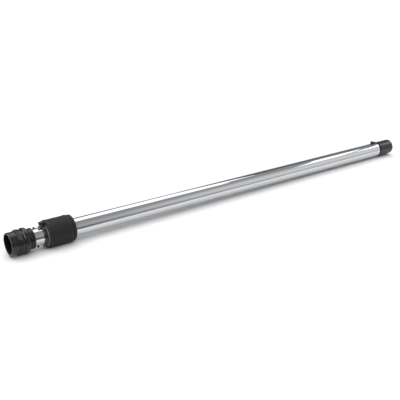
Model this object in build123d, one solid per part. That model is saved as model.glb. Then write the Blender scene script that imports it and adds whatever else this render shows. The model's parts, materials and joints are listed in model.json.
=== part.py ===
from build123d import *
import math
import os

# Telescopic suction tube, pushed together. Millimetres.
# Stations run along the tube's axis, from 0 at the hose mouth to the nozzle end.
# The solids are modelled about the X axis and set down on the ground at the end.

# Tubes
outer_diameter = 35.0
outer_wall = 0.8
inner_wall = 0.7
telescope_clearance = 0.3
outer_length = 865.5

# Fits
seat_clearance = 0.1
slide_clearance = 0.3
tail_clearance = 0.15

# Hose connector
mouth_diameter = 41.6
mouth_wall = 2.5
mouth_length = 14.0
mouth_rim_round = 0.8
seal_seat_length = 11.0
seal_seat_depth = 1.2
seal_base_height = 1.6
fin_height = 2.4
fin_root = 2.8
fin_tip = 1.5
fin_pitch = 4.6
bead_length = 10.5
bead_round = 3.0
connector_groove_length = 2.5
connector_groove_depth = 1.6
rear_ring_length = 8.0
rear_ring_wall = 2.8
rear_ring_slit = 1.2
tube_pocket_depth = 5.0
insert_wall = 1.7
insert_length = 11.5
socket_past_seal = 4.0
snap_lug_setback = 7.0
snap_lug_diameter = 4.4
snap_lug_height = 2.4
snap_lug_angle = 25.0

# Lock at the end of the outer tube
bare_length = 18.0
wiper_length = 1.4
wiper_clearance = 0.1
collar_length = 5.5
collar_lip = 1.5
collar_wall = 1.5
collar_gap = 1.5
nose_width = 9.0
nose_overhang = 4.0
nose_height = 6.3
nose_round = 2.6
neck_wall = 1.5
bush_wall = 3.5
bush_socket_length = 16.0
bush_back_gap = 1.3
bush_flange_length = 1.5
bush_flange_height = 1.2
detent_pitch = 40.0
detent_depth = 1.55
tail_overlap = 90.0
roller_setback = 14.5
roller_length = 10.0
roller_stand = 0.05
roller_play = 0.15
roller_side_play = 0.2
unlock_travel = 8.0
hold_length = 9.0
spring_room = 2.4
spring_turns = 3
spring_wire_radial = 1.4
spring_wire_axial = 1.1
retainer_thickness = 1.2
retainer_inset = 0.8
retainer_opening = 8.0
retainer_to_end = 2.0

# Grip sleeve and its end ring
grip_length = 46.5
grip_wall = 1.6
grip_offset = 1.5
grip_round = 1.4
flute_count = 40
flute_radius = 1.5
flute_depth = 0.6
flute_margin = 6.2
stop_rib_radius = 0.9
stop_rib_height = 0.5
stop_rib_length = 4.0
stop_rib_inset = 1.6
end_ring_length = 6.2
end_ring_groove = 0.8
end_ring_inset = 0.8
end_ring_round = 2.2
end_ring_plug = 4.7
end_ring_clearance = 0.4

# Nozzle end
spigot_insert_length = 31.5
spigot_wall = 1.6
spigot_groove_length = 5.0
spigot_length = 44.0
spigot_round = 3.0
tail_gap = 26.0
tail_flange = 4.0
tail_skirt = 12.0
tail_wall = 1.5

# Latch in the nozzle end
latch_width = 10.0
latch_front = 12.5
latch_height = 4.8
latch_tail_height = 1.3
latch_crest = 3.0
latch_round = 0.8
latch_foot_thickness = 1.0
latch_foot_margin = 1.2
latch_clearance = 0.2
notch_clearance = 0.5
leaf_thickness = 0.4
leaf_width = 8.0
leaf_tab_length = 12.0
leaf_reach = 16.0
leaf_gap = 0.1
peg_radius = 1.2

# Radii that follow from the tubes
outer_radius = outer_diameter / 2
outer_bore = outer_radius - outer_wall
inner_radius = outer_bore - telescope_clearance
inner_bore = inner_radius - inner_wall
bush_bore = inner_radius + telescope_clearance
bush_radius = bush_bore + bush_wall
sleeve_bore = bush_radius + slide_clearance
cavity_radius = bush_radius + spring_room
grip_radius = cavity_radius + grip_wall + grip_offset
neck_radius = bush_bore + neck_wall
collar_pocket = neck_radius + seat_clearance
collar_radius = collar_pocket + collar_wall
flange_radius = bush_radius + bush_flange_height
spigot_insert_radius = outer_bore - seat_clearance
spigot_bore = spigot_insert_radius - spigot_wall

# Stations from the hose mouth to the nozzle end
seal_start = mouth_length
bead_start = seal_start + seal_seat_length
bead_end = bead_start + bead_length
rear_ring_start = bead_end + connector_groove_length
rear_ring_end = rear_ring_start + rear_ring_length
collar_start = rear_ring_end + bare_length
wiper_start = collar_start + collar_lip
neck_start = wiper_start + wiper_length
collar_end = collar_start + collar_length
grip_start = collar_end + collar_gap
grip_end = grip_start + grip_length
roller_station = grip_start + roller_setback
shoulder_station = roller_station + hold_length
plug_start = grip_end - end_ring_plug
bush_end = plug_start - bush_back_gap
tube_start = bush_end - bush_socket_length
retainer_start = bush_end - retainer_to_end
end_ring_start = grip_end + end_ring_groove
end_ring_end = end_ring_start + end_ring_length
tube_end = tube_start + outer_length
spigot_start = tube_end + spigot_groove_length
total_length = spigot_start + spigot_length
insert_start = tube_end - spigot_insert_length
tail_end = insert_start - tail_gap
inner_start = rear_ring_end - tube_pocket_depth
snap_lug_station = rear_ring_end + snap_lug_setback
inner_end = tail_end - tail_flange

# Lock roller, sized to stand level with the sleeve's bore when it lies in a detent
roller_floor = inner_radius - detent_depth
roller_radius = (sleeve_bore - roller_stand - roller_floor) / 2
roller_height = roller_floor + roller_radius
roller_lift = detent_depth + roller_stand
detent_count = 1 + int((inner_end - roller_station - tail_overlap) / detent_pitch)

# Stop ribs at both ends of the grip, on every second land between the flutes.
# The tube rests on the two lowest.
flute_step = 360 / flute_count
stop_rib_reach = grip_radius + stop_rib_height - stop_rib_radius
axis_height = stop_rib_reach * math.cos(math.radians(flute_step)) + stop_rib_radius - grip_offset


def side_view(corners, rounds):
    """Upright face with (station, height) corners; rounds holds corner numbers and their radii."""
    section = make_face(Polyline(*corners, close=True))
    for number, radius in rounds:
        corner = section.vertices().sort_by_distance(corners[number])[0]
        section = fillet(corner, radius)
    return Plane.XZ * section


def turned(corners, rounds=()):
    """Ring turned about the tube's axis from (station, radius) corners, some of them rounded."""
    return revolve(side_view(corners, rounds), Axis.X)


def ring(start, end, bore, radius):
    """Plain ring between two stations."""
    return turned([(start, bore), (end, bore), (end, radius), (start, radius)])


def rod(start, end, radius, lift=0.0):
    """Solid cylinder along the tube between two stations, its axis lifted above the tube's."""
    return Pos((start + end) / 2, 0, lift) * Rot(0, 90, 0) * Cylinder(radius, end - start)


def cross_bar(station, height, radius, length):
    """Cylinder across the tube."""
    return Pos(station, 0, height) * Rot(90, 0, 0) * Cylinder(radius, length)


def block(start, end, width, bottom, top):
    """Box between two stations, centred across the tube."""
    return Pos((start + end) / 2, 0, (bottom + top) / 2) * Box(end - start, width, top - bottom)


def cross_piece(corners, width, rounds=()):
    """Bar across the tube with a side view of (station, height) corners, some of them rounded."""
    return extrude(side_view(corners, rounds), width / 2, both=True)


def around(angle):
    """Turn about the tube's axis, from straight up towards the far side."""
    return Rot(-angle, 0, 0)


def snap_pegs(radius, bottom, top):
    """Two opposed pegs that stand out through the wall of the inner tube."""
    peg = Pos(snap_lug_station, 0, (bottom + top) / 2) * Cylinder(radius, top - bottom)
    return around(snap_lug_angle) * peg + around(snap_lug_angle + 180) * peg


def hose_connector():
    """Moulded mouth with seal seat, bead and rear ring, and an insert that snaps into the inner tube."""
    mouth_radius = mouth_diameter / 2
    mouth_bore = mouth_radius - mouth_wall
    seat_radius = mouth_radius - seal_seat_depth
    bead_radius = mouth_radius + fin_height
    insert_radius = inner_bore - seat_clearance
    insert_bore = insert_radius - insert_wall
    pocket_radius = inner_radius + seat_clearance
    rear_radius = pocket_radius + rear_ring_wall
    groove_radius = rear_radius - connector_groove_depth
    slit_start = (rear_ring_start + rear_ring_end - rear_ring_slit) / 2
    socket_end = bead_start + socket_past_seal
    throat_start = socket_end + mouth_bore - insert_bore
    insert_end = rear_ring_end + insert_length
    corners = [
        (0, mouth_bore),
        (0, mouth_radius),
        (seal_start, mouth_radius),
        (seal_start, seat_radius),
        (bead_start, seat_radius),
        (bead_start, bead_radius),
        (bead_end, bead_radius),
        (bead_end, groove_radius),
        (rear_ring_start, groove_radius),
        (rear_ring_start, rear_radius),
        (slit_start, rear_radius),
        (slit_start, groove_radius),
        (slit_start + rear_ring_slit, groove_radius),
        (slit_start + rear_ring_slit, rear_radius),
        (rear_ring_end, rear_radius),
        (rear_ring_end, pocket_radius),
        (inner_start, pocket_radius),
        (inner_start, insert_radius),
        (insert_end, insert_radius),
        (insert_end, insert_bore),
        (throat_start, insert_bore),
        (socket_end, mouth_bore),
    ]
    rim = mouth_rim_round
    rounds = [(0, rim), (1, rim), (5, bead_round), (6, bead_round), (9, rim), (14, rim)]
    lugs = snap_pegs(snap_lug_diameter / 2 - seat_clearance, insert_radius - insert_wall / 2,
                     inner_radius + snap_lug_height)
    return turned(corners, rounds) + lugs


def lip_seal():
    """Rubber ring on the connector's seat, with two thin fins."""
    seat = mouth_diameter / 2 - seal_seat_depth + seat_clearance
    base = mouth_diameter / 2 - seal_seat_depth + seal_base_height
    tip = mouth_diameter / 2 + fin_height
    start = seal_start + seat_clearance
    end = bead_start - seat_clearance
    seal = ring(start, end, seat, base)
    for number in range(2):
        root_start = start + number * fin_pitch
        tip_start = root_start + (fin_root - fin_tip) / 2
        seal += turned([
            (root_start, seat),
            (root_start, base),
            (tip_start, tip),
            (tip_start + fin_tip, tip),
            (root_start + fin_root, base),
            (root_start + fin_root, seat),
        ])
    return seal


def inner_tube():
    """Thin tube with a row of pressed detents on top and two holes for the connector's lugs."""
    tube = ring(inner_start, inner_end, inner_bore, inner_radius)
    skin = rod(inner_start, inner_end, inner_radius)
    press_radius = roller_radius + seat_clearance
    stations = [roller_station + number * detent_pitch for number in range(detent_count)]
    dents = [cross_bar(station, roller_height, press_radius, 2 * inner_radius) for station in stations]
    backs = [cross_bar(station, roller_height, press_radius + inner_wall, 2 * inner_radius)
             for station in stations]
    tube += skin & Compound(backs)
    tube -= Compound(dents)
    holes = snap_pegs(snap_lug_diameter / 2, inner_bore / 2, inner_radius + snap_lug_height)
    return tube - holes


def tail_guide():
    """Plastic ring plugged into the hidden end of the inner tube, running in the outer tube."""
    skirt = inner_bore - seat_clearance
    bore = skirt - tail_wall
    return turned([
        (inner_end - tail_skirt, bore),
        (inner_end - tail_skirt, skirt),
        (inner_end, skirt),
        (inner_end, outer_bore - tail_clearance),
        (tail_end, outer_bore - tail_clearance),
        (tail_end, bore),
    ])


def outer_tube():
    """Long tube, notched at the nozzle end where the latch comes through."""
    tube = ring(tube_start, tube_end, outer_bore, outer_radius)
    notch_start = tube_end - latch_front - notch_clearance
    notch_width = latch_width + 2 * notch_clearance
    return tube - block(notch_start, tube_end + notch_clearance, notch_width, 0, 2 * outer_radius)


def guide_bush():
    """Bush on the end of the outer tube: neck for the collar, flange for the sleeve, roller window."""
    socket = outer_radius + seat_clearance
    groove = bush_radius - retainer_inset
    groove_start = retainer_start - seat_clearance / 2
    groove_end = retainer_start + retainer_thickness + seat_clearance / 2
    flange_end = grip_start + bush_flange_length
    bush = turned([
        (neck_start, bush_bore),
        (neck_start, neck_radius),
        (grip_start, neck_radius),
        (grip_start, flange_radius),
        (flange_end, flange_radius),
        (flange_end, bush_radius),
        (groove_start, bush_radius),
        (groove_start, groove),
        (groove_end, groove),
        (groove_end, bush_radius),
        (bush_end, bush_radius),
        (bush_end, socket),
        (tube_start, socket),
        (tube_start, bush_bore),
    ])
    half_window = roller_radius + roller_play
    return bush - block(roller_station - half_window, roller_station + half_window,
                        roller_length + 2 * roller_side_play, 0, flange_radius)


def front_collar():
    """Ring on the bush's neck that keeps the wiper in place, with a rounded nose on top."""
    lip_bore = bush_bore + wiper_clearance
    collar = turned([
        (collar_start, lip_bore),
        (collar_start, collar_radius),
        (collar_end, collar_radius),
        (collar_end, collar_pocket),
        (wiper_start, collar_pocket),
        (wiper_start, lip_bore),
    ], [(1, mouth_rim_round)])
    nose_top = grip_radius + grip_offset
    nose_bottom = nose_top - nose_height
    nose_root = (collar_pocket + collar_radius) / 2
    nose_tip = collar_start - nose_overhang
    nose = cross_piece([
        (nose_tip, nose_bottom),
        (nose_tip, nose_top),
        (collar_end, nose_top),
        (collar_end, nose_root),
        (collar_start + mouth_rim_round, nose_root),
        (collar_start + mouth_rim_round, nose_bottom),
    ], nose_width, [(0, nose_round), (1, nose_round)])
    return collar + fillet(nose.edges().filter_by(Axis.X).group_by(Axis.Z)[-1], nose_round)


def wiper_seal():
    """Ring in the collar that wipes the inner tube."""
    return ring(wiper_start, neck_start, inner_radius + wiper_clearance, neck_radius)


def lock_roller():
    """Steel roller in the bush's window, lying in a detent."""
    return cross_bar(roller_station, roller_height, roller_radius, roller_length)


def lock_sleeve():
    """Fluted grip with stop ribs at both ends, thicker on top where a ramp inside frees the roller."""
    flange_pocket = flange_radius + slide_clearance
    pocket_end = grip_start + bush_flange_length + slide_clearance
    body = rod(grip_start, grip_end, grip_radius, grip_offset)
    body = fillet(body.edges(), grip_round)
    body -= rod(grip_start, shoulder_station, sleeve_bore)
    body -= rod(grip_start, pocket_end, flange_pocket)
    body -= rod(shoulder_station, grip_end, cavity_radius)
    hold = roller_height + roller_radius + roller_play
    ramp_end = roller_station - unlock_travel
    channel_start = ramp_end - roller_radius - slide_clearance
    channel_width = roller_length + 2 * slide_clearance
    body -= cross_piece([
        (channel_start, 0),
        (channel_start, hold + roller_lift),
        (ramp_end, hold + roller_lift),
        (roller_station, hold),
        (shoulder_station, hold),
        (shoulder_station, 0),
    ], channel_width)
    reach = grip_radius + flute_radius - flute_depth
    flute = rod(grip_start + flute_margin, grip_end - flute_margin, flute_radius, reach)
    lift = Pos(0, 0, grip_offset)
    body -= Compound([lift * around((number + 0.5) * flute_step) * flute for number in range(flute_count)])
    for rib_start in (grip_start + stop_rib_inset, grip_end - stop_rib_inset - stop_rib_length):
        rib = rod(rib_start, rib_start + stop_rib_length, stop_rib_radius, stop_rib_reach)
        body += [lift * around(number * flute_step) * rib for number in range(1, flute_count, 2)]
    return body


def sleeve_end_ring():
    """Rounded ring plugged into the back of the grip."""
    plug_radius = cavity_radius - seat_clearance
    rim = rod(end_ring_start, end_ring_end, grip_radius - end_ring_inset, grip_offset)
    rim = fillet(rim.edges().group_by(Axis.X)[-1], end_ring_round)
    plug = rod(plug_start, end_ring_start, plug_radius)
    return rim + plug - rod(plug_start, end_ring_end, outer_radius + end_ring_clearance)


def spring_retainer():
    """Open ring in the bush's groove, the fixed seat of the return spring."""
    bore = bush_radius - retainer_inset + seat_clearance
    rim = cavity_radius - slide_clearance
    end = retainer_start + retainer_thickness
    opening = block(retainer_start, end, retainer_opening, -rim, 0)
    return ring(retainer_start, end, bore, rim) - opening


def return_spring():
    """Flat wire coil between the sleeve's shoulder and the retainer."""
    wire_radius = (bush_radius + cavity_radius) / 2
    start = shoulder_station + slide_clearance + spring_wire_axial / 2
    end = retainer_start - seat_clearance - spring_wire_axial / 2
    height = end - start
    path = Pos(start, 0, 0) * Rot(0, 90, 0) * Helix(height / spring_turns, height, wire_radius)
    section = Plane(origin=path @ 0, x_dir=(1, 0, 0), z_dir=path % 0)
    wire = section * Rectangle(spring_wire_axial, spring_wire_radial)
    return sweep(wire, path, is_frenet=True)


def nozzle_spigot():
    """End piece plugged into the outer tube, slotted on top for the latch."""
    body = turned([
        (insert_start, spigot_bore),
        (insert_start, spigot_insert_radius),
        (spigot_start, spigot_insert_radius),
        (spigot_start, outer_radius),
        (total_length, outer_radius),
        (total_length, spigot_bore),
    ], [(4, min(spigot_round, 0.8 * (outer_radius - spigot_bore)))])
    slot_start = tube_end - latch_front - latch_clearance
    body -= block(slot_start, spigot_start, latch_width + 2 * latch_clearance, 0, 2 * outer_radius)
    peg_top = spigot_insert_radius - seat_clearance
    peg_bottom = leaf_top() - 2 * leaf_thickness
    peg = Pos(leaf_start() + leaf_tab_length / 2, 0, (peg_top + peg_bottom) / 2)
    return body + peg * Cylinder(peg_radius, peg_top - peg_bottom)


def latch_foot_top():
    """Height of the latch's foot, just under the spigot's bore at the foot's edges."""
    half_foot = latch_width / 2 + latch_foot_margin
    return (spigot_bore ** 2 - half_foot ** 2) ** 0.5 - seat_clearance


def latch_button():
    """Lug with a steep face towards the tube and a ramp towards the nozzle, on a wider foot."""
    front = tube_end - latch_front
    back = spigot_start - latch_clearance
    foot_top = latch_foot_top()
    foot_bottom = foot_top - latch_foot_thickness
    lug = cross_piece([
        (front, foot_bottom),
        (front, outer_radius + latch_height),
        (front + latch_crest, outer_radius + latch_height),
        (back, outer_radius + latch_tail_height),
        (back, foot_bottom),
    ], latch_width, [(1, latch_round), (2, latch_round), (3, latch_round)])
    foot = block(front - latch_foot_margin, back + latch_foot_margin,
                 latch_width + 2 * latch_foot_margin, foot_bottom, foot_top)
    return lug + foot


def leaf_start():
    """Station where the leaf spring's tab begins, inside the spigot."""
    return insert_start + seat_clearance


def leaf_top():
    """Height of the leaf spring's tab, just under the spigot's bore at the leaf's edges."""
    return (spigot_bore ** 2 - (leaf_width / 2) ** 2) ** 0.5 - seat_clearance


def latch_spring():
    """Leaf held on a peg of the spigot, bent down to lie under the latch's foot."""
    tab_top = leaf_top()
    free_top = latch_foot_top() - latch_foot_thickness - leaf_gap
    bend = leaf_start() + leaf_tab_length
    touch = tube_end - latch_front - latch_foot_margin
    tip = touch + leaf_reach
    leaf = cross_piece([
        (leaf_start(), tab_top),
        (bend, tab_top),
        (touch, free_top),
        (tip, free_top),
        (tip, free_top - leaf_thickness),
        (touch, free_top - leaf_thickness),
        (bend, tab_top - leaf_thickness),
        (leaf_start(), tab_top - leaf_thickness),
    ], leaf_width)
    hole = Pos(leaf_start() + leaf_tab_length / 2, 0, tab_top)
    return leaf - hole * Cylinder(peg_radius + seat_clearance, 4 * leaf_thickness)


pieces = [
    hose_connector,
    lip_seal,
    inner_tube,
    tail_guide,
    outer_tube,
    guide_bush,
    front_collar,
    wiper_seal,
    lock_roller,
    lock_sleeve,
    sleeve_end_ring,
    spring_retainer,
    return_spring,
    nozzle_spigot,
    latch_button,
    latch_spring,
]

os.makedirs("parts", exist_ok=True)
resting_place = Pos(-total_length / 2, 0, axis_height)
for piece in pieces:
    export_step(resting_place * piece(), f"parts/{piece.__name__}.step")
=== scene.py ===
import json
from math import cos, pi, radians, sin, sqrt

import bmesh
import bpy
from bpy.props import FloatProperty, FloatVectorProperty, IntProperty, PointerProperty
from bpy.types import Operator, Panel, PropertyGroup
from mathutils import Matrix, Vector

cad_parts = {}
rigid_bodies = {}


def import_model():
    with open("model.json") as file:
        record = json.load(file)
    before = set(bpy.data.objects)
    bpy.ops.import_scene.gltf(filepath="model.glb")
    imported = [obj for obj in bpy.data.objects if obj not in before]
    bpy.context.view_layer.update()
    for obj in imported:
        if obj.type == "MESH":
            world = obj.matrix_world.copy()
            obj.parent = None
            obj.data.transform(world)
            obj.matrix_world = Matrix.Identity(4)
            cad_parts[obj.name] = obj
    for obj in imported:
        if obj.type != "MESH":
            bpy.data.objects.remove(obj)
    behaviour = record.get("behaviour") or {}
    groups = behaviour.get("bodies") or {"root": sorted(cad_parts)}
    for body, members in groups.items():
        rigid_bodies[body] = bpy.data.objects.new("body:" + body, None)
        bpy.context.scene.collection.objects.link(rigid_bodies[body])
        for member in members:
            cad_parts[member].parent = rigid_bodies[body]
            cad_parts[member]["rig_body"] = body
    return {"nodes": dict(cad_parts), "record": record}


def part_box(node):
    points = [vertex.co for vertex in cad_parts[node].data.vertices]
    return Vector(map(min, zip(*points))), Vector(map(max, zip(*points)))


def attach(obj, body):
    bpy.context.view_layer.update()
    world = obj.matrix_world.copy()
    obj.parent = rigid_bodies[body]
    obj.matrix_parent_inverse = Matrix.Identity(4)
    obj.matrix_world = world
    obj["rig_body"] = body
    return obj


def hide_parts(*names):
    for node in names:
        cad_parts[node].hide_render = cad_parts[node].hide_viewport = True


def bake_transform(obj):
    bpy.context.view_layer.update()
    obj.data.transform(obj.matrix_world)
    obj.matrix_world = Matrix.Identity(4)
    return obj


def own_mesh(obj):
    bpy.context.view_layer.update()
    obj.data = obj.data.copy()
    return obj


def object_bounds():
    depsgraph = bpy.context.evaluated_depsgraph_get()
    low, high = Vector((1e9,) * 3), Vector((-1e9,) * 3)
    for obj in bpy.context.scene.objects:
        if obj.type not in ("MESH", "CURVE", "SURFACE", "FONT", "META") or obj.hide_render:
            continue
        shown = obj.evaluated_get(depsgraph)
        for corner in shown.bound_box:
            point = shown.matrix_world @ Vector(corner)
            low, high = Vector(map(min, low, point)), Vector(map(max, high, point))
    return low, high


bl_info = {
    "name": "Telescopic Suction Tube",
    "version": (1, 0, 0),
    "blender": (4, 5, 0),
    "location": "View3D > Sidebar > Suction Tube",
    "description": "Finished meshes, materials and a studio for a telescopic suction tube",
    "category": "Object",
}

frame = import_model()
CAD_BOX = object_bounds()
MM = 0.001
SAME_POINT = 1e-7
BEVEL_SAME_POINT = 2e-6
FLAT_ANGLE = radians(0.4)
CREASE_ANGLE = radians(50.0)
LEAF_CREASE_ANGLE = radians(30.0)


def mount(name):
    """The record's mount of that name."""
    return next(entry for entry in frame["record"]["mounts"] if entry["name"] == name)


SPIGOT = mount("nozzle_spigot")
AXIS_HEIGHT = SPIGOT["pos_m"][2]
TUBE_RADIUS = SPIGOT["dims"]["r_mm"] * MM


def length_size(label, description, default):
    """Property for a length in metres."""
    return FloatProperty(name=label, description=description, default=default, min=0.0, precision=5,
                         subtype="DISTANCE", unit="LENGTH")


def angle_size(label, description, degrees):
    """Property for an angle, given in degrees."""
    return FloatProperty(name=label, description=description, default=radians(degrees),
                         subtype="ANGLE", unit="ROTATION")


def share(label, description, default, top=1.0):
    """Property for a plain number from nothing up to a limit."""
    return FloatProperty(name=label, description=description, default=default, min=0.0, max=top)


def number_of(label, description, default, lowest):
    """Property for a count."""
    return IntProperty(name=label, description=description, default=default, min=lowest)


def tint(label, description, default):
    """Property for a linear colour."""
    return FloatVectorProperty(name=label, description=description, default=default, size=3, min=0.0,
                               max=1.0, subtype="COLOR")


def place(label, description, default):
    """Property for a point in the part's frame."""
    return FloatVectorProperty(name=label, description=description, default=default, size=3,
                               subtype="TRANSLATION", unit="LENGTH")


class SuctionTubeSizes(PropertyGroup):
    """Sizes of the pieces that get a finer mesh."""

    outer_radius: length_size("Outer tube radius", "Outside radius of the long tube", TUBE_RADIUS)
    outer_wall: length_size("Outer tube wall", "Sheet thickness of the long tube", 0.8 * MM)
    inner_wall: length_size("Inner tube wall", "Sheet thickness of the sliding tube", 0.7 * MM)
    slide_gap: length_size("Sliding gap", "Play between the two tubes", 0.3 * MM)
    notch_width: length_size("Latch notch width", "Width of the notch at the nozzle end", 11.0 * MM)
    notch_length: length_size("Latch notch length", "Length of the notch at the nozzle end", 13.0 * MM)
    detent_pitch: length_size("Detent pitch", "Distance between two locking dents", 40.0 * MM)
    detent_count: number_of("Detents", "Number of locking dents", 19, 1)
    detent_play: length_size("Detent play", "Room between the roller and its dent", 0.1 * MM)
    detent_rows: number_of("Detent rows", "Facets along one dent", 12, 4)
    detent_sector: angle_size("Detent sector", "Half of the finer sector that holds the dents", 36.0)
    sector_columns: number_of("Sector columns", "Facets across the sector that holds the dents", 48, 8)
    plain_columns: number_of("Plain columns", "Facets around the rest of the inner tube", 80, 16)
    hole_setback: length_size("Snap hole setback", "Snap holes, from the end of the inner tube", 12.0 * MM)
    hole_radius: length_size("Snap hole radius", "Radius of the two snap holes", 2.2 * MM)
    hole_angle: angle_size("Snap hole angle", "Turn of the first snap hole from straight up", 25.0)
    hole_segments: number_of("Snap hole segments", "Facets around a snap hole", 48, 12)
    segments: number_of("Outer tube segments", "Facets around the long tube, beside its notch", 240, 48)
    rings: number_of("Outer tube rings", "Facets along the long tube", 40, 2)
    sheet_round: length_size("Sheet edge", "Rounding of a tube's cut edges", 0.15 * MM)
    mould_round: length_size("Moulded edge", "Rounding of the moulded pieces' edges", 0.3 * MM)
    rubber_round: length_size("Rubber edge", "Rounding of the seals' edges", 0.6 * MM)
    coil_turns: share("Coil turns", "Free turns of the return spring", 3.0, 12.0)
    coil_closed_turns: share("Closed turns", "Closed turns at each end of the return spring", 0.75, 3.0)
    coil_room: length_size("Coil room", "Room of the return spring's wire along the tube", 1.0 * MM)
    coil_wire: share("Coil wire", "Share of that room that the wire fills", 0.8)
    coil_band: length_size("Coil band", "Width of the flat wire, outwards from the tube", 1.3 * MM)
    coil_inset: length_size("Coil inset", "From the spring's outside to the middle of its wire", 0.7 * MM)
    coil_round: length_size("Coil edge", "Rounding of the flat wire's edges", 0.12 * MM)
    coil_steps: number_of("Coil steps", "Facets in one turn of the return spring", 72, 16)
    leaf_root: length_size("Leaf root", "Length of the latch spring that stays with the spigot", 12.0 * MM)
    leaf_steps: number_of("Leaf steps", "Facets along the latch spring", 16, 4)


class SuctionTubeFinish(PropertyGroup):
    """Colours and surface detail."""

    chrome: tint("Chrome", "Colour of the plated tubes", (0.60, 0.61, 0.63))
    moulding: tint("Black moulding", "Colour of the connector, collar and spigot", (0.008, 0.0079, 0.0077))
    # Painted shade: darker than the moulding, so that the groove in front of the spigot reads as a shadowed
    # gap.
    groove: tint("Groove", "Colour of the dull groove in front of the spigot", (0.002, 0.002, 0.002))
    grip: tint("Grip", "Colour of the sleeve and its end ring", (0.013, 0.0128, 0.0122))
    rubber: tint("Rubber", "Colour of the seals", (0.011, 0.011, 0.0115))
    bearing: tint("Bearing plastic", "Colour of the bush and the tail guide", (0.34, 0.34, 0.33))
    steel: tint("Steel", "Colour of the springs and the roller", (0.56, 0.57, 0.58))
    grain: length_size("Grain", "Size of the moulded grain", 0.45 * MM)
    draw_lines: length_size("Drawing lines", "Spacing of the lines left by drawing the tube", 0.5 * MM)
    wear: share("Edge wear", "How far the edges are rubbed lighter", 0.35)
    smudges: share("Smudges", "How far handling dulls the gloss", 0.25)
    ground_dark: tint("Ground, dark", "Darker tone of the pale ground", (0.80, 0.80, 0.80))
    ground_light: tint("Ground, light", "Lighter tone of the pale ground", (0.84, 0.84, 0.84))


class SuctionTubeStage(PropertyGroup):
    """Ground, light and camera."""

    ground_start: place("Ground corner", "Near left corner of the pale ground", (-1.6, -0.10, 0.0))
    ground_end: place("Ground far corner", "Far right corner of the pale ground", (1.0, 0.45, 0.0))
    rest_station: length_size("Front rest", "From the hose mouth to where the sleeve touches", 0.1159)
    tail_station: length_size("Back rest", "From the hose mouth to where the spigot would touch", 1.008)
    ground_lean: share("Ground lean", "Share of the tube's own tip that the ground leans by", 0.75)
    camera_place: place("Camera", "Where the camera stands", (-0.8924, -1.1134, AXIS_HEIGHT + 0.5267))
    camera_pitch: angle_size("Camera pitch", "Turn up from looking straight down", 68.61)
    camera_heading: angle_size("Camera heading", "Turn from looking along +Y", -35.93)
    camera_lens: share("Lens", "Focal length in millimetres", 63.34, 500.0)
    camera_sensor: share("Sensor", "Width of the camera's sensor in millimetres", 36.0, 100.0)
    camera_reach: length_size("Reach", "How far the camera sees", 50.0)
    white_level: share("White level", "Brightness of the empty background in the picture", 1.05, 10.0)
    key_strength: share("Key light", "Strength of the broad light above the tube", 3.0, 50.0)
    key_tilt: angle_size("Key tilt", "Tilt of the light above the tube, backwards if negative", -22.0)
    key_spread: angle_size("Key spread", "Angular size of the light above the tube", 84.0)
    fill_strength: share("Fill light", "Strength of the light in front of the tube", 1.3, 50.0)
    fill_tilt: angle_size("Fill tilt", "Tilt of the light in front of the tube from straight down", 36.0)
    fill_spread: angle_size("Fill spread", "Angular size of the light in front of the tube", 40.0)
    softbox_glow: share("Softbox glow", "Brightness of the softboxes as the tube mirrors them", 1.75, 50.0)
    softbox_height: length_size("Softbox height", "Height of the softboxes above the ground", 1.2)


def new_object(name, mesh):
    """Object with that mesh in the scene."""
    piece = bpy.data.objects.new(name, mesh)
    bpy.context.scene.collection.objects.link(piece)
    return piece


def mesh_from(name, vertices, faces):
    """Mesh with all its faces turned outwards."""
    mesh = bpy.data.meshes.new(name)
    mesh.from_pydata(vertices, [], faces)
    work = bmesh.new()
    work.from_mesh(mesh)
    bmesh.ops.remove_doubles(work, verts=work.verts, dist=SAME_POINT)
    bmesh.ops.recalc_face_normals(work, faces=work.faces)
    work.to_mesh(mesh)
    work.free()
    return mesh


def soften(mesh, width, steps=2, sharp=32.0):
    """Rounds every sharp edge of a mesh and shades the rest smooth."""
    work = bmesh.new()
    work.from_mesh(mesh)
    bmesh.ops.dissolve_limit(work, angle_limit=FLAT_ANGLE, verts=work.verts, edges=work.edges)
    edges = [edge for edge in work.edges if edge.is_manifold and edge.calc_face_angle(0.0) > radians(sharp)]
    bmesh.ops.bevel(work, geom=edges, offset=width, offset_type="OFFSET", segments=steps, profile=0.5,
                    affect="EDGES", clamp_overlap=True)
    bmesh.ops.remove_doubles(work, verts=work.verts, dist=BEVEL_SAME_POINT)
    work.to_mesh(mesh)
    work.free()
    mesh.shade_smooth()
    mesh.set_sharp_from_angle(angle=CREASE_ANGLE)


def weigh_normals(piece):
    """Keeps wide faces flat beside their narrow rounded edges."""
    modifier = piece.modifiers.new("Weighted normals", "WEIGHTED_NORMAL")
    modifier.keep_sharp = True
    modifier.weight = 50


def node_mesh(node):
    """New mesh with the faces of a CAD node."""
    source = frame["nodes"][node].data
    vertices = [vertex.co[:] for vertex in source.vertices]
    faces = [tuple(face.vertices) for face in source.polygons]
    return mesh_from(node + "_finish", vertices, faces)


def moulded_copy(node, material, width):
    """Copy of a CAD node with rounded edges, which stands for the node."""
    mesh = node_mesh(node)
    soften(mesh, width)
    piece = new_object(node + "_finish", mesh)
    weigh_normals(piece)
    settle(piece, node, material)
    return piece


def settle(piece, node, material):
    """Gives a piece its material and lets it stand for a CAD node, on the node's body."""
    cad = frame["nodes"][node]
    piece.data.materials.clear()
    piece.data.materials.append(material)
    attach(piece, cad["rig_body"])
    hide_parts(node)


def dress(node, material):
    """Gives a CAD node that keeps its own mesh a material."""
    mesh = frame["nodes"][node].data
    mesh.materials.clear()
    mesh.materials.append(material)


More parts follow.
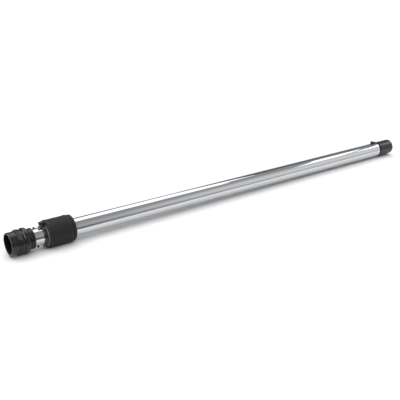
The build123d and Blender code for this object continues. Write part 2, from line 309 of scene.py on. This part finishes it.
def shell(name, stations, angles, skins, keep=None):
    """Tube wall between two skins, on a grid of stations and angles; keep says which cells are there.

    A skin turns a station and an angle from straight up towards +Y into a side offset and a height.
    """
    rows = len(stations)
    columns = len(angles)
    vertices = []
    for skin in skins:
        for station in stations:
            for angle in angles:
                side, height = skin(station, angle)
                vertices.append((station, side, height))

    def corner(layer, row, column):
        return (layer * rows + row) * columns + column % columns

    def present(row, column):
        inside = 0 <= row < rows - 1
        return inside and (keep is None or keep(row, column % columns))

    faces = []
    for row in range(rows - 1):
        for column in range(columns):
            if not present(row, column):
                continue
            for layer in (0, 1):
                faces.append((corner(layer, row, column), corner(layer, row + 1, column),
                              corner(layer, row + 1, column + 1), corner(layer, row, column + 1)))
            sides = (
                (row - 1, column, (row, column), (row, column + 1)),
                (row + 1, column, (row + 1, column), (row + 1, column + 1)),
                (row, column - 1, (row, column), (row + 1, column)),
                (row, column + 1, (row, column + 1), (row + 1, column + 1)),
            )
            for next_row, next_column, one, two in sides:
                if not present(next_row, next_column):
                    faces.append((corner(0, *one), corner(0, *two), corner(1, *two), corner(1, *one)))
    mesh = mesh_from(name, vertices, faces)
    work = bmesh.new()
    work.from_mesh(mesh)
    loose = [vertex for vertex in work.verts if not vertex.link_faces]
    bmesh.ops.delete(work, geom=loose, context="VERTS")
    work.to_mesh(mesh)
    work.free()
    return mesh


def round_skin(radius):
    """Skin of a plain tube."""
    return lambda station, angle: (radius * sin(angle), AXIS_HEIGHT + radius * cos(angle))


def spread(start, end, count):
    """Evenly spaced values from start to end."""
    return [start + (end - start) * number / count for number in range(count + 1)]


def add_node(tree, kind, **inputs):
    """Shader node with some of its inputs set by name."""
    made = tree.nodes.new(kind)
    for name, value in inputs.items():
        made.inputs[name.replace("_", " ")].default_value = value
    return made


def arithmetic(tree, operation, *values):
    """Math node; a value is a socket or a number."""
    made = tree.nodes.new("ShaderNodeMath")
    made.operation = operation
    for socket, value in zip(made.inputs, values):
        if isinstance(value, (int, float)):
            socket.default_value = value
        else:
            tree.links.new(value, socket)
    return made.outputs[0]


def ranged(tree, value, old, new):
    """Value moved from an old range to a new one and held there."""
    made = add_node(tree, "ShaderNodeMapRange", From_Min=old[0], From_Max=old[1], To_Min=new[0],
                    To_Max=new[1])
    tree.links.new(value, made.inputs["Value"])
    return made.outputs["Result"]


def noise(tree, vector, scale, detail, roughness):
    """Noise over a vector; scale is a number or a socket."""
    made = add_node(tree, "ShaderNodeTexNoise", Detail=detail, Roughness=roughness)
    tree.links.new(vector, made.inputs["Vector"])
    if isinstance(scale, (int, float)):
        made.inputs["Scale"].default_value = scale
    else:
        tree.links.new(scale, made.inputs["Scale"])
    return made.outputs["Fac"]


def effect(name, inputs, outputs):
    """Empty node group with float sockets, its input node and its output node."""
    group = bpy.data.node_groups.new(name, "ShaderNodeTree")
    for label, value in inputs.items():
        socket = group.interface.new_socket(label, in_out="INPUT", socket_type="NodeSocketFloat")
        socket.default_value = value
    for label in outputs:
        group.interface.new_socket(label, in_out="OUTPUT", socket_type="NodeSocketFloat")
    return group, group.nodes.new("NodeGroupInput"), group.nodes.new("NodeGroupOutput")


def moulded_grain():
    """Fine pitted grain of a mould, with slow changes of tone."""
    name = "Moulded grain"
    if name in bpy.data.node_groups:
        return bpy.data.node_groups[name]
    group, given, result = effect(name, {"Grain Size": 0.0004}, ("Height", "Tone"))
    position = group.nodes.new("ShaderNodeTexCoord").outputs["Object"]
    fineness = arithmetic(group, "DIVIDE", 1.0, given.outputs["Grain Size"])
    pits = add_node(group, "ShaderNodeTexVoronoi", Randomness=0.9)
    group.links.new(position, pits.inputs["Vector"])
    group.links.new(fineness, pits.inputs["Scale"])
    coarser = arithmetic(group, "MULTIPLY", fineness, 0.6)
    speckle = noise(group, position, coarser, detail=4.0, roughness=0.6)
    height = arithmetic(group, "ADD", arithmetic(group, "MULTIPLY", pits.outputs["Distance"], 0.6), speckle)
    clouds = noise(group, position, scale=45.0, detail=3.0, roughness=0.55)
    tone = arithmetic(group, "ADD", arithmetic(group, "MULTIPLY", clouds, 0.7),
                      arithmetic(group, "MULTIPLY", speckle, 0.3))
    group.links.new(height, result.inputs["Height"])
    group.links.new(tone, result.inputs["Tone"])
    return group


def edge_wear():
    """Patchy mask along outward edges."""
    name = "Edge wear"
    if name in bpy.data.node_groups:
        return bpy.data.node_groups[name]
    group, given, result = effect(name, {"Amount": 0.3}, ("Mask",))
    position = group.nodes.new("ShaderNodeTexCoord").outputs["Object"]
    bend = group.nodes.new("ShaderNodeNewGeometry").outputs["Pointiness"]
    edge = ranged(group, bend, (0.52, 0.62), (0.0, 1.0))
    blotches = noise(group, position, scale=260.0, detail=5.0, roughness=0.65)
    rubbed = arithmetic(group, "MULTIPLY", edge, ranged(group, blotches, (0.4, 0.7), (0.2, 1.0)))
    group.links.new(arithmetic(group, "MULTIPLY", rubbed, given.outputs["Amount"]), result.inputs["Mask"])
    return group


def draw_marks():
    """Lines along the tube left by drawing and polishing."""
    name = "Drawing marks"
    if name in bpy.data.node_groups:
        return bpy.data.node_groups[name]
    group, given, result = effect(name, {"Spacing": 0.0005}, ("Height", "Streak"))
    position = group.nodes.new("ShaderNodeTexCoord").outputs["Object"]
    stretch = group.nodes.new("ShaderNodeVectorMath")
    stretch.operation = "MULTIPLY"
    stretch.inputs[1].default_value = (0.012, 1.0, 1.0)
    group.links.new(position, stretch.inputs[0])
    fineness = arithmetic(group, "DIVIDE", 1.0, given.outputs["Spacing"])
    lines = noise(group, stretch.outputs["Vector"], fineness, detail=3.0, roughness=0.6)
    coarse = arithmetic(group, "MULTIPLY", fineness, 0.12)
    waves = noise(group, stretch.outputs["Vector"], coarse, detail=2.0, roughness=0.5)
    height = arithmetic(group, "ADD", arithmetic(group, "MULTIPLY", lines, 0.25), waves)
    group.links.new(height, result.inputs["Height"])
    group.links.new(lines, result.inputs["Streak"])
    return group


def smudge():
    """Broad soft patches where hands have dulled the gloss."""
    name = "Smudge"
    if name in bpy.data.node_groups:
        return bpy.data.node_groups[name]
    group, given, result = effect(name, {"Amount": 0.3}, ("Dullness",))
    position = group.nodes.new("ShaderNodeTexCoord").outputs["Object"]
    blotches = noise(group, position, scale=22.0, detail=4.0, roughness=0.6)
    patches = ranged(group, blotches, (0.42, 0.72), (0.0, 1.0))
    group.links.new(arithmetic(group, "MULTIPLY", patches, given.outputs["Amount"]),
                    result.inputs["Dullness"])
    return group


def use(tree, group, **inputs):
    """A node group placed in a material with its own values."""
    made = tree.nodes.new("ShaderNodeGroup")
    made.node_tree = group
    for name, value in inputs.items():
        made.inputs[name.replace("_", " ")].default_value = value
    return made


def blank_material(name):
    """Material with a lone Principled shader; returns it with its tree and shader."""
    material = bpy.data.materials.new(name)
    material.use_nodes = True
    return material, material.node_tree, material.node_tree.nodes["Principled BSDF"]


def shade_between(tree, factor, first, second, socket):
    """Colour that goes from first to second with a factor, into a socket."""
    blend = tree.nodes.new("ShaderNodeMix")
    blend.data_type = "RGBA"
    blend.inputs["A"].default_value = (*first, 1.0)
    blend.inputs["B"].default_value = (*second, 1.0)
    tree.links.new(factor, blend.inputs["Factor"])
    tree.links.new(blend.outputs["Result"], socket)


def raise_surface(tree, shader, height, strength, distance):
    """Bump from a height into the shader's normal."""
    bump = add_node(tree, "ShaderNodeBump", Strength=strength, Distance=distance)
    tree.links.new(height, bump.inputs["Height"])
    tree.links.new(bump.outputs["Normal"], shader.inputs["Normal"])


def lighter(colour, factor):
    """The same colour, brighter or darker."""
    return tuple(min(1.0, part * factor) for part in colour)


def moulding_material(name, colour, wear_factor, rough, shine, depth, grain):
    """Grained plastic or rubber with rubbed edges; rough holds the lowest and highest roughness."""
    if name in bpy.data.materials:
        return bpy.data.materials[name]
    finish = bpy.context.scene.suction_tube_finish
    material, tree, shader = blank_material(name)
    shader.inputs["Specular IOR Level"].default_value = shine
    texture = use(tree, moulded_grain(), Grain_Size=grain)
    wear = use(tree, edge_wear(), Amount=finish.wear)
    dull = use(tree, smudge(), Amount=finish.smudges)
    tone = ranged(tree, texture.outputs["Tone"], (0.3, 0.75), (0.0, 0.3))
    shade_between(tree, arithmetic(tree, "MAXIMUM", tone, wear.outputs["Mask"]), colour,
                  lighter(colour, wear_factor), shader.inputs["Base Color"])
    gloss = ranged(tree, texture.outputs["Tone"], (0.3, 0.75), rough)
    gloss = arithmetic(tree, "ADD", gloss, arithmetic(tree, "MULTIPLY", dull.outputs["Dullness"], 0.12))
    tree.links.new(gloss, shader.inputs["Roughness"])
    raise_surface(tree, shader, texture.outputs["Height"], strength=0.35, distance=depth)
    return material


def metal_material(name, colour, rough, depth, spacing):
    """Bright metal with lines along the tube; rough holds the lowest and highest roughness."""
    if name in bpy.data.materials:
        return bpy.data.materials[name]
    finish = bpy.context.scene.suction_tube_finish
    material, tree, shader = blank_material(name)
    shader.inputs["Metallic"].default_value = 1.0
    marks = use(tree, draw_marks(), Spacing=spacing)
    dull = use(tree, smudge(), Amount=finish.smudges)
    tone = ranged(tree, marks.outputs["Streak"], (0.3, 0.7), (0.0, 1.0))
    shade_between(tree, tone, lighter(colour, 0.96), lighter(colour, 1.03), shader.inputs["Base Color"])
    gloss = ranged(tree, marks.outputs["Streak"], (0.3, 0.7), rough)
    gloss = arithmetic(tree, "ADD", gloss, arithmetic(tree, "MULTIPLY", dull.outputs["Dullness"], 0.08))
    tree.links.new(gloss, shader.inputs["Roughness"])
    raise_surface(tree, shader, marks.outputs["Height"], strength=0.2, distance=depth)
    return material


def chrome():
    """Bright plating of the two tubes."""
    finish = bpy.context.scene.suction_tube_finish
    return metal_material("Chrome plating", finish.chrome, rough=(0.03, 0.07), depth=0.02 * MM,
                          spacing=finish.draw_lines)


def steel():
    """Duller steel of the springs and the roller."""
    finish = bpy.context.scene.suction_tube_finish
    return metal_material("Spring steel", finish.steel, rough=(0.18, 0.32), depth=0.05 * MM,
                          spacing=finish.draw_lines)


def moulding():
    """Satin black of the connector, collar, spigot and latch."""
    finish = bpy.context.scene.suction_tube_finish
    return moulding_material("Black moulding", finish.moulding, wear_factor=2.2, rough=(0.20, 0.32),
                             shine=0.5, depth=0.04 * MM, grain=finish.grain)


def groove_painted_shade():
    """Painted shade: dull black, darker than the moulding, that takes the gloss out of the spigot's groove so
    that it reads as a shadowed gap.
    """
    finish = bpy.context.scene.suction_tube_finish
    return moulding_material("Groove black", finish.groove, wear_factor=2.2, rough=(0.80, 0.95),
                             shine=0.05, depth=0.04 * MM, grain=finish.grain)


def grip_plastic():
    """Matt black with a coarse grain, for the sleeve and its end ring."""
    finish = bpy.context.scene.suction_tube_finish
    return moulding_material("Grip plastic", finish.grip, wear_factor=2.2, rough=(0.52, 0.68),
                             shine=0.3, depth=0.12 * MM, grain=1.6 * finish.grain)


def rubber():
    """Smooth black rubber of the seals."""
    finish = bpy.context.scene.suction_tube_finish
    return moulding_material("Seal rubber", finish.rubber, wear_factor=2.5, rough=(0.15, 0.22),
                             shine=0.5, depth=0.03 * MM, grain=0.8 * finish.grain)


def bearing_plastic():
    """Pale plastic of the bush and the tail guide, soiled at its edges."""
    finish = bpy.context.scene.suction_tube_finish
    return moulding_material("Bearing plastic", finish.bearing, wear_factor=0.82, rough=(0.38, 0.5),
                             shine=0.5, depth=0.04 * MM, grain=finish.grain)


class OBJECT_OT_suction_outer_tube(Operator):
    """Long plated tube with a notch for the latch at the nozzle end"""

    bl_idname = "object.suction_outer_tube"
    bl_label = "Outer Tube"

    def execute(self, context):
        sizes = context.scene.suction_tube_sizes
        low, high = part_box("outer_tube")
        notch_start = high.x - sizes.notch_length
        stations = spread(low.x, notch_start, sizes.rings) + [high.x]
        half_width = sizes.notch_width / 2
        edge = half_width / sizes.outer_radius
        around = spread(edge, 2 * pi - edge, sizes.segments)
        notch_segments = int(sizes.segments * edge / (pi - edge))
        over_notch = spread(2 * pi - edge, 2 * pi + edge, notch_segments)
        angles = around + over_notch[1:-1]
        last_row = len(stations) - 2

        def skin(radius):
            def shape(station, angle):
                if angle in (around[0], around[-1]):
                    side = half_width if angle < pi else -half_width
                    return side, AXIS_HEIGHT + sqrt(radius ** 2 - half_width ** 2)
                return round_skin(radius)(station, angle)
            return shape

        mesh = shell("outer_tube_finish", stations, angles,
                     [skin(sizes.outer_radius), skin(sizes.outer_radius - sizes.outer_wall)],
                     lambda row, column: row < last_row or column < sizes.segments)
        soften(mesh, sizes.sheet_round)
        piece = new_object("outer_tube_finish", mesh)
        weigh_normals(piece)
        settle(piece, "outer_tube", chrome())
        return {"FINISHED"}


class OBJECT_OT_suction_inner_tube(Operator):
    """Sliding plated tube with its row of locking dents and two snap holes"""

    bl_idname = "object.suction_inner_tube"
    bl_label = "Inner Tube"

    def execute(self, context):
        sizes = context.scene.suction_tube_sizes
        low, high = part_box("inner_tube")
        roller_low, roller_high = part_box("lock_roller")
        roller_station = (roller_low.x + roller_high.x) / 2
        roller_height = (roller_low.z + roller_high.z) / 2
        dent_radius = (roller_high.x - roller_low.x) / 2 + sizes.detent_play
        radius = sizes.outer_radius - sizes.outer_wall - sizes.slide_gap
        dents = [roller_station + number * sizes.detent_pitch for number in range(sizes.detent_count)]
        reach = dent_radius + sizes.inner_wall
        hole_station = low.x + sizes.hole_setback
        hole_room = 2 * sizes.hole_radius
        stations = {low.x, high.x, hole_station - hole_room, hole_station + hole_room}
        for dent in dents:
            stations.update(dent + reach * sin(turn) for turn in spread(-pi / 2, pi / 2, sizes.detent_rows))
        sector = sizes.detent_sector
        angles = spread(-sector, sector, sizes.sector_columns)
        angles += spread(sector, 2 * pi - sector, sizes.plain_columns)[1:-1]

        def skin(skin_radius, press_radius):
            def shape(station, angle):
                side, height = round_skin(skin_radius)(station, angle)
                away = min(abs(station - dent) for dent in dents)
                if away < press_radius:
                    height = min(height, roller_height - sqrt(press_radius ** 2 - away ** 2))
                return side, height
            return shape

        mesh = shell("inner_tube_finish", sorted(stations), angles,
                     [skin(radius, dent_radius), skin(radius - sizes.inner_wall, reach)])
        piece = new_object("inner_tube_finish", mesh)
        self.drill(piece, hole_station, radius, sizes)
        soften(piece.data, sizes.sheet_round, sharp=60.0)
        weigh_normals(piece)
        settle(piece, "inner_tube", chrome())
        return {"FINISHED"}

    def drill(self, piece, station, radius, sizes):
        """Cuts the two opposed snap holes."""
        for turn in (sizes.hole_angle, sizes.hole_angle + pi):
            work = bmesh.new()
            bmesh.ops.create_cone(work, cap_ends=True, segments=sizes.hole_segments,
                                  radius1=sizes.hole_radius, radius2=sizes.hole_radius, depth=radius)
            mesh = bpy.data.meshes.new("snap_hole")
            work.to_mesh(mesh)
            work.free()
            cutter = new_object("snap_hole", mesh)
            cutter.rotation_euler = (-turn, 0.0, 0.0)
            cutter.location = (station, radius * sin(turn), AXIS_HEIGHT + radius * cos(turn))
            bpy.context.view_layer.update()
            modifier = piece.modifiers.new("Snap hole", "BOOLEAN")
            modifier.object = cutter
            modifier.operation = "DIFFERENCE"
            modifier.solver = "EXACT"
            bpy.context.view_layer.objects.active = piece
            bpy.ops.object.modifier_apply(modifier=modifier.name)
            bpy.data.objects.remove(cutter)


class OBJECT_OT_suction_mouldings(Operator):
    """Black mouldings: hose connector, front collar, nozzle spigot and latch button"""

    bl_idname = "object.suction_mouldings"
    bl_label = "Black Mouldings"

    def execute(self, context):
        width = context.scene.suction_tube_sizes.mould_round
        for node in ("hose_connector", "front_collar", "latch_button"):
            moulded_copy(node, moulding(), width)
        self.paint_groove_shade(moulded_copy("nozzle_spigot", moulding(), width), width)
        return {"FINISHED"}

    def paint_groove_shade(self, spigot, width):
        """Painted shade: dull black on the groove from the tube's end to the spigot's shoulder, so that it
        reads as a shadowed gap.
        """
        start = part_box("outer_tube")[1].x
        shoulder = SPIGOT["pos_m"][0] - SPIGOT["dims"]["length_mm"] * MM / 2
        mesh = spigot.data
        mesh.materials.append(groove_painted_shade())
        # The faces that end in the groove get the painted shade.
        for face in mesh.polygons:
            face_end = max(mesh.vertices[corner].co.x for corner in face.vertices)
            if start < face_end < shoulder + width / 2:
                face.material_index = 1


class OBJECT_OT_suction_grip(Operator):
    """Sliding grip sleeve and its end ring"""

    bl_idname = "object.suction_grip"
    bl_label = "Grip Sleeve"

    def execute(self, context):
        width = context.scene.suction_tube_sizes.mould_round
        moulded_copy("lock_sleeve", grip_plastic(), width / 2)
        moulded_copy("sleeve_end_ring", grip_plastic(), width)
        return {"FINISHED"}


class OBJECT_OT_suction_seals(Operator):
    """Rubber lip seal on the connector and wiper in the collar"""

    bl_idname = "object.suction_seals"
    bl_label = "Rubber Seals"

    def execute(self, context):
        moulded_copy("lip_seal", rubber(), context.scene.suction_tube_sizes.rubber_round)
        dress("wiper_seal", rubber())
        return {"FINISHED"}


class OBJECT_OT_suction_bearings(Operator):
    """Pale bearing plastics: guide bush and tail guide"""

    bl_idname = "object.suction_bearings"
    bl_label = "Bearings"

    def execute(self, context):
        width = context.scene.suction_tube_sizes.mould_round
        for node in ("guide_bush", "tail_guide"):
            moulded_copy(node, bearing_plastic(), width)
        return {"FINISHED"}


class OBJECT_OT_suction_steel_parts(Operator):
    """Steel parts of the lock and the latch"""

    bl_idname = "object.suction_steel_parts"
    bl_label = "Steel Parts"

    def execute(self, context):
        sizes = context.scene.suction_tube_sizes
        moulded_copy("lock_roller", steel(), sizes.mould_round)
        dress("spring_retainer", steel())
        self.leaf(sizes)
        return {"FINISHED"}

    def leaf(self, sizes):
        """Leaf spring of the latch, sliced into even steps along its length."""
        mesh = node_mesh("latch_spring")
        work = bmesh.new()
        work.from_mesh(mesh)
        low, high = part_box("latch_spring")
        for station in spread(low.x, high.x, sizes.leaf_steps)[1:-1]:
            bmesh.ops.bisect_plane(work, geom=work.verts[:] + work.edges[:] + work.faces[:],
                                   plane_co=(station, 0.0, 0.0), plane_no=(1.0, 0.0, 0.0))
        work.to_mesh(mesh)
        work.free()
        mesh.shade_smooth()
        mesh.set_sharp_from_angle(angle=LEAF_CREASE_ANGLE)
        piece = new_object("latch_spring_finish", mesh)
        piece.data.materials.append(steel())
        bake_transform(piece)
        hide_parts("latch_spring")


class OBJECT_OT_suction_return_spring(Operator):
    """Flat wire coil that closes up when the sleeve is pulled back"""

    bl_idname = "object.suction_return_spring"
    bl_label = "Return Spring"

    def execute(self, context):
        sizes = context.scene.suction_tube_sizes
        low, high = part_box("return_spring")
        radius = (high.y - low.y) / 2 - sizes.coil_inset
        room = sizes.coil_room
        closed = sizes.coil_closed_turns
        turns = sizes.coil_turns + 2 * closed
        count = int(sizes.coil_steps * turns)
        climb = high.x - low.x - room * (1 + closed)
        vertices = []
        faces = []
        for number in range(count + 1):
            turn = turns * number / count
            rise = min(max((turn - closed) / sizes.coil_turns, 0.0), 1.0)
            lift = room * 0.5 * (min(turn, closed) + max(turn - turns + closed, 0.0))
            station = low.x + room / 2 + lift + rise * climb
            direction = (sin(2 * pi * turn), cos(2 * pi * turn))
            for along, out in ((-0.5, -0.5), (0.5, -0.5), (0.5, 0.5), (-0.5, 0.5)):
                reach = radius + out * sizes.coil_band
                vertices.append((station + along * sizes.coil_wire * room, reach * direction[0],
                                 AXIS_HEIGHT + reach * direction[1]))
            if number:
                new = 4 * number
                old = new - 4
                for side in range(4):
                    other = (side + 1) % 4
                    faces.append((old + side, old + other, new + other, new + side))
        faces.append((0, 1, 2, 3))
        faces.append(tuple(4 * count + side for side in range(4)))
        mesh = mesh_from("return_spring_finish", vertices, faces)
        soften(mesh, sizes.coil_round)
        piece = new_object("return_spring_finish", mesh)
        settle(piece, "return_spring", steel())
        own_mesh(piece)
        return {"FINISHED"}


# Panels that only show as white bands mirrored on the part: two opposite corners in metres, and a gain.
SOFTBOXES = {
    "softbox_near": ((-0.60, 0.02), (0.82, 1.60), 1.0),
    "softbox_side": ((0.82, 0.30), (1.00, 1.60), 1.0),
    "softbox_far": ((1.30, -0.60), (1.61, 0.04), 1.0),
    "softbox_end": ((1.74, -0.62), (2.30, 0.12), 2.0),
    "softbox_left": ((-2.40, -1.60), (-1.20, 1.00), 4.0),
}

# Pale studio walls: heading and elevation of the middle, and pairs of an angle from it and a level there. The
# angles are in degrees.
WALLS = (
    (124.0, 15.0, ((0.0, 0.95), (14.0, 0.92), (22.0, 0.80), (27.0, 0.63), (31.0, 0.51), (37.0, 0.43),
                   (50.0, 0.40), (57.0, 0.27), (64.0, 0.17), (74.0, 0.09), (110.0, 0.08))),
    (270.0, 12.0, ((0.0, 0.95), (9.0, 0.80), (17.0, 0.42), (28.0, 0.20), (40.0, 0.0), (110.0, 0.0))),
    (42.0, 2.0, ((0.0, 1.0), (16.0, 1.0), (20.0, 0.45), (23.0, 0.0), (110.0, 0.0))),
)

# Dark gap between two walls: how much of their level it takes away, by the angle from its middle and by the
# angle from straight up, so that it stays close to the horizon.
GAP = (166.0, 2.0, ((0.0, 0.80), (8.0, 0.75), (13.0, 0.25), (20.0, 0.12), (110.0, 0.12)))
GAP_HEIGHT = ((0.0, 0.0), (78.0, 0.0), (84.0, 1.0), (90.0, 1.0))


class OBJECT_OT_suction_stage(Operator):
    """Pale ground, soft studio light and the camera"""

    bl_idname = "object.suction_stage"
    bl_label = "Stage"

    def execute(self, context):
        stage = context.scene.suction_tube_stage
        self.ground(stage, context.scene.suction_tube_finish)
        self.sky(context.scene, stage)
        self.broad_light("key", stage.key_strength, stage.key_tilt, stage.key_spread)
        self.broad_light("fill", stage.fill_strength, stage.fill_tilt, stage.fill_spread)
        for name, (near_corner, far_corner, gain) in SOFTBOXES.items():
            self.softbox(name, stage, near_corner, far_corner, gain)
        self.camera(context.scene, stage)
        context.scene.view_settings.view_transform = "Standard"
        return {"FINISHED"}

    def ground(self, stage, finish):
        """Ground under the sleeve, which leans most of the way to where the spigot would touch it too."""
        mouth = CAD_BOX[0].x
        front = mouth + stage.rest_station
        back = mouth + stage.tail_station
        slope = stage.ground_lean * (AXIS_HEIGHT - TUBE_RADIUS) / (back - front)
        left, near, _ = stage.ground_start
        right, far, _ = stage.ground_end
        corners = ((left, near), (right, near), (right, far), (left, far))
        mesh = bpy.data.meshes.new("ground")
        mesh.from_pydata([(x, y, slope * (x - front)) for x, y in corners], [], [(0, 1, 2, 3)])
        mesh.shade_smooth()
        ground = new_object("ground", mesh)
        material, tree, shader = blank_material("Pale ground")
        position = tree.nodes.new("ShaderNodeTexCoord").outputs["Object"]
        mottle = noise(tree, position, scale=6.0, detail=4.0, roughness=0.55)
        shade_between(tree, mottle, finish.ground_dark, finish.ground_light, shader.inputs["Base Color"])
        tree.links.new(ranged(tree, mottle, (0.3, 0.7), (0.85, 0.95)), shader.inputs["Roughness"])
        mesh.materials.append(material)

    def sky(self, scene, stage):
        """White for the camera; dim studio walls, with pale sides, for light and mirror images."""
        world = bpy.data.worlds.new("Studio")
        scene.world = world
        world.use_nodes = True
        tree = world.node_tree
        tree.nodes.clear()
        direction = tree.nodes.new("ShaderNodeTexCoord").outputs["Generated"]
        split = tree.nodes.new("ShaderNodeSeparateXYZ")
        tree.links.new(direction, split.inputs[0])
        walls = [self.lobe(tree, direction, *wall) for wall in WALLS]
        pale = walls[0]
        for wall in walls[1:]:
            pale = arithmetic(tree, "MAXIMUM", pale, wall)
        height = self.levels(tree, arithmetic(tree, "ABSOLUTE", split.outputs["Z"]), GAP_HEIGHT)
        gap = arithmetic(tree, "MULTIPLY", self.lobe(tree, direction, *GAP), height)
        level = arithmetic(tree, "MULTIPLY", pale, arithmetic(tree, "SUBTRACT", 1.0, gap))
        seen = tree.nodes.new("ShaderNodeLightPath").outputs["Is Camera Ray"]
        white = arithmetic(tree, "MULTIPLY", seen, stage.white_level)
        background = tree.nodes.new("ShaderNodeBackground")
        output = tree.nodes.new("ShaderNodeOutputWorld")
        background.inputs["Color"].default_value = (1.0, 1.0, 1.0, 1.0)
        tree.links.new(arithmetic(tree, "MAXIMUM", level, white), background.inputs["Strength"])
        tree.links.new(background.outputs[0], output.inputs[0])

    def lobe(self, tree, direction, heading, elevation, stops):
        """Level that falls off around a heading and an elevation."""
        return self.levels(tree, self.nearness(tree, direction, heading, elevation), stops)

    def nearness(self, tree, direction, heading, elevation):
        """Cosine of the angle from a heading, counted from +Y towards +X, and an elevation."""
        level = cos(radians(elevation))
        turn = radians(heading)
        made = tree.nodes.new("ShaderNodeVectorMath")
        made.operation = "DOT_PRODUCT"
        made.inputs[1].default_value = (level * sin(turn), level * cos(turn), sin(radians(elevation)))
        tree.links.new(direction, made.inputs[0])
        return made.outputs["Value"]

    def levels(self, tree, cosine, stops):
        """Level by the angle whose cosine is given; stops hold angles in degrees and their levels."""
        ramp = tree.nodes.new("ShaderNodeValToRGB")
        elements = ramp.color_ramp.elements
        while len(elements) > 1:
            elements.remove(elements[0])
        places = [((cos(radians(angle)) + 1) / 2, level) for angle, level in reversed(stops)]
        elements[0].position = places[0][0]
        for position, _ in places[1:]:
            elements.new(position)
        for element, (_, level) in zip(elements, places):
            element.color = (level, level, level, 1.0)
        tree.links.new(ranged(tree, cosine, (-1.0, 1.0), (0.0, 1.0)), ramp.inputs[0])
        return ramp.outputs[0]

    def broad_light(self, name, strength, tilt, spread_angle):
        """Broad light that no surface mirrors; a negative tilt puts it behind the tube."""
        data = bpy.data.lights.new(name, "SUN")
        data.energy = strength
        data.angle = spread_angle
        lamp = new_object(name, data)
        lamp.rotation_euler = (tilt, 0.0, 0.0)
        lamp.visible_glossy = False

    def softbox(self, name, stage, near_corner, far_corner, gain):
        """Level panel between two corners that only shows as a white band mirrored on the part."""
        data = bpy.data.lights.new(name, "AREA")
        data.shape = "RECTANGLE"
        data.size = far_corner[0] - near_corner[0]
        data.size_y = far_corner[1] - near_corner[1]
        data.energy = gain * stage.softbox_glow * pi * data.size * data.size_y
        lamp = new_object(name, data)
        lamp.location = ((near_corner[0] + far_corner[0]) / 2, (near_corner[1] + far_corner[1]) / 2,
                         stage.softbox_height)
        lamp.visible_diffuse = False

    def camera(self, scene, stage):
        """Camera at the photograph's angle."""
        data = bpy.data.cameras.new("camera")
        data.sensor_width = stage.camera_sensor
        data.lens = stage.camera_lens
        data.clip_end = stage.camera_reach
        camera = new_object("camera", data)
        camera.location = stage.camera_place
        camera.rotation_euler = (stage.camera_pitch, 0.0, stage.camera_heading)
        scene.camera = camera


OPERATORS = (
    OBJECT_OT_suction_outer_tube,
    OBJECT_OT_suction_inner_tube,
    OBJECT_OT_suction_mouldings,
    OBJECT_OT_suction_grip,
    OBJECT_OT_suction_seals,
    OBJECT_OT_suction_bearings,
    OBJECT_OT_suction_steel_parts,
    OBJECT_OT_suction_return_spring,
    OBJECT_OT_suction_stage,
)

GROUPS = {
    "suction_tube_sizes": SuctionTubeSizes,
    "suction_tube_finish": SuctionTubeFinish,
    "suction_tube_stage": SuctionTubeStage,
}


class VIEW3D_PT_suction_tube(Panel):
    """Pieces, sizes and finishes of the suction tube"""

    bl_label = "Suction Tube"
    bl_idname = "VIEW3D_PT_suction_tube"
    bl_space_type = "VIEW_3D"
    bl_region_type = "UI"
    bl_category = "Suction Tube"

    def draw(self, context):
        for operator in OPERATORS:
            self.layout.operator(operator.bl_idname)
        for name, group in GROUPS.items():
            box = self.layout.box()
            box.label(text=group.__doc__)
            for field in group.__annotations__:
                box.prop(getattr(context.scene, name), field)


CLASSES = (*GROUPS.values(), *OPERATORS, VIEW3D_PT_suction_tube)


def register():
    """Adds the classes and the three groups of settings."""
    for entry in CLASSES:
        bpy.utils.register_class(entry)
    for name, group in GROUPS.items():
        setattr(bpy.types.Scene, name, PointerProperty(type=group))


def unregister():
    """Takes the settings and the classes away again."""
    for name in GROUPS:
        delattr(bpy.types.Scene, name)
    for entry in reversed(CLASSES):
        bpy.utils.unregister_class(entry)


def main():
    """Builds every piece and the stage."""
    register()
    for operator in OPERATORS:
        family, name = operator.bl_idname.split(".")
        getattr(getattr(bpy.ops, family), name)()
    bpy.context.view_layer.update()


if __name__ == "__main__":
    main()
